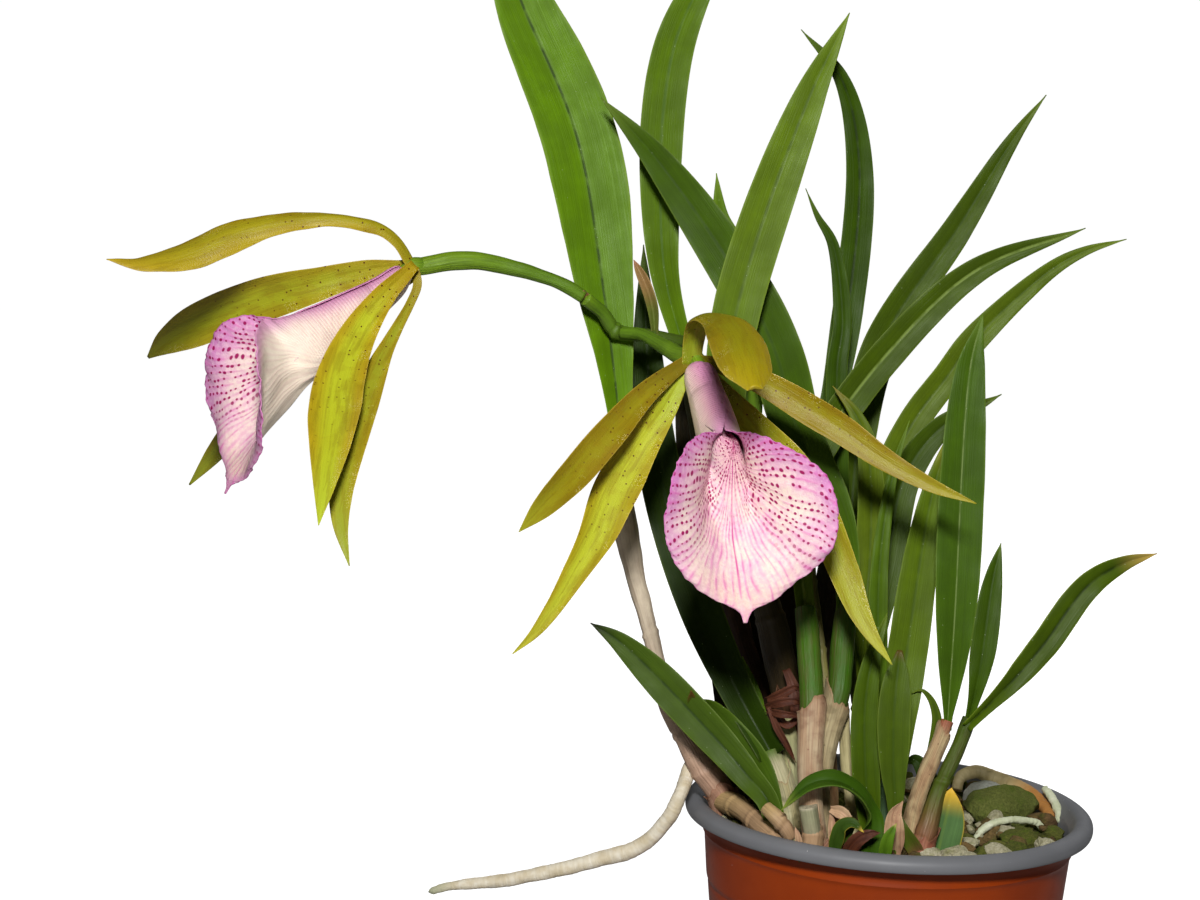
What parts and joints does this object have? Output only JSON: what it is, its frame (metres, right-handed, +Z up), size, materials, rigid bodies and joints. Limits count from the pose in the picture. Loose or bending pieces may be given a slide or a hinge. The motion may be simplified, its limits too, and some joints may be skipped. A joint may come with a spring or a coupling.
{
  "type": "potted orchid",
  "caption": "Potted orchid: layered plastic nursery pot filled with coarse bark mix, a clump of canes with tall strap leaves, and a short stem with open flowers.",
  "frame": {"origin": "centre of the pot's flat base, at the height of the surface it stands on", "axes": "+Z up along the pot's axis, -Y towards the viewer of the picture, +X to that viewer's right; the flowers hang out to -X"},
  "size_m": [0.3016, 0.1612, 0.3553],
  "materials": {
    "brown_plastic": "satin",
    "grey_plastic": "satin",
    "bark_mix": "matte",
    "mossy_rock": "matte",
    "aerial_root": "matte",
    "cane_dry": "matte",
    "cane_green": "satin",
    "cane_shaded": "matte",
    "leaf_green": "satin",
    "leaf_deep": "satin",
    "leaf_olive": "satin",
    "leaf_yellow": "satin",
    "flower_stalk": "satin",
    "flower_sepal": "satin",
    "flower_lip": "satin"
  },
  "bodies": {
    "root": {"pot_outer": "brown_plastic", "pot_liner_rim": "grey_plastic", "cane_tall_left": "cane_dry", "cane_back_slender": "cane_shaded", "cane_back_sheathed": "cane_shaded", "cane_left_sheathed": "cane_dry", "cane_front_left": "cane_dry", "cane_front_right": "cane_dry", "cane_thin": "cane_shaded", "cane_dry_stub": "cane_dry", "cane_right_pale": "cane_dry", "cane_right_green": "cane_green", "cane_middle": "cane_green", "cane_back_middle": "cane_green", "rhizome": "cane_dry", "flower_stem": "flower_stalk", "flower_1_stalk": "flower_stalk", "flower_2_stalk": "flower_stalk", "flower_1_lip": "flower_lip", "flower_2_lip": "flower_lip", "flower_1_petal_left": "flower_sepal", "flower_1_petal_right": "flower_sepal", "flower_1_sepal_top": "flower_sepal", "flower_1_sepal_low_left": "flower_sepal", "flower_1_sepal_low_right": "flower_sepal", "flower_2_petal_far": "flower_sepal", "flower_2_petal_near": "flower_sepal", "flower_2_sepal_top": "flower_sepal", "flower_2_sepal_low_near": "flower_sepal", "flower_2_sepal_low_far": "flower_sepal", "leaf_tallest_left": "leaf_green", "leaf_tall_second": "leaf_deep", "leaf_crossing": "leaf_green", "leaf_large_centre": "leaf_green", "leaf_behind_centre": "leaf_green", "leaf_hooked": "leaf_deep", "leaf_hooked_short": "leaf_deep", "leaf_right_steep": "leaf_green", "leaf_right_arching": "leaf_green", "leaf_right_arching_low": "leaf_green", "leaf_right_bent": "leaf_deep", "leaf_upright": "leaf_green", "leaf_upright_short": "leaf_deep", "leaf_right_low": "leaf_green", "leaf_broad_middle": "leaf_olive", "leaf_olive_tip": "leaf_olive", "leaf_narrow_middle": "leaf_green", "leaf_front_broad": "leaf_deep", "leaf_front_round_tip": "leaf_deep", "leaf_left_low": "leaf_green", "leaf_left_shrivelled": "leaf_green", "leaf_shaded": "leaf_deep", "leaf_small_arching": "leaf_green", "leaf_yellow": "leaf_yellow", "root_hanging": "aerial_root", "root_right_thick": "aerial_root", "root_front_pale": "aerial_root", "rock_green": "mossy_rock", "potting_mix": "bark_mix"}
  },
  "joints": []
}
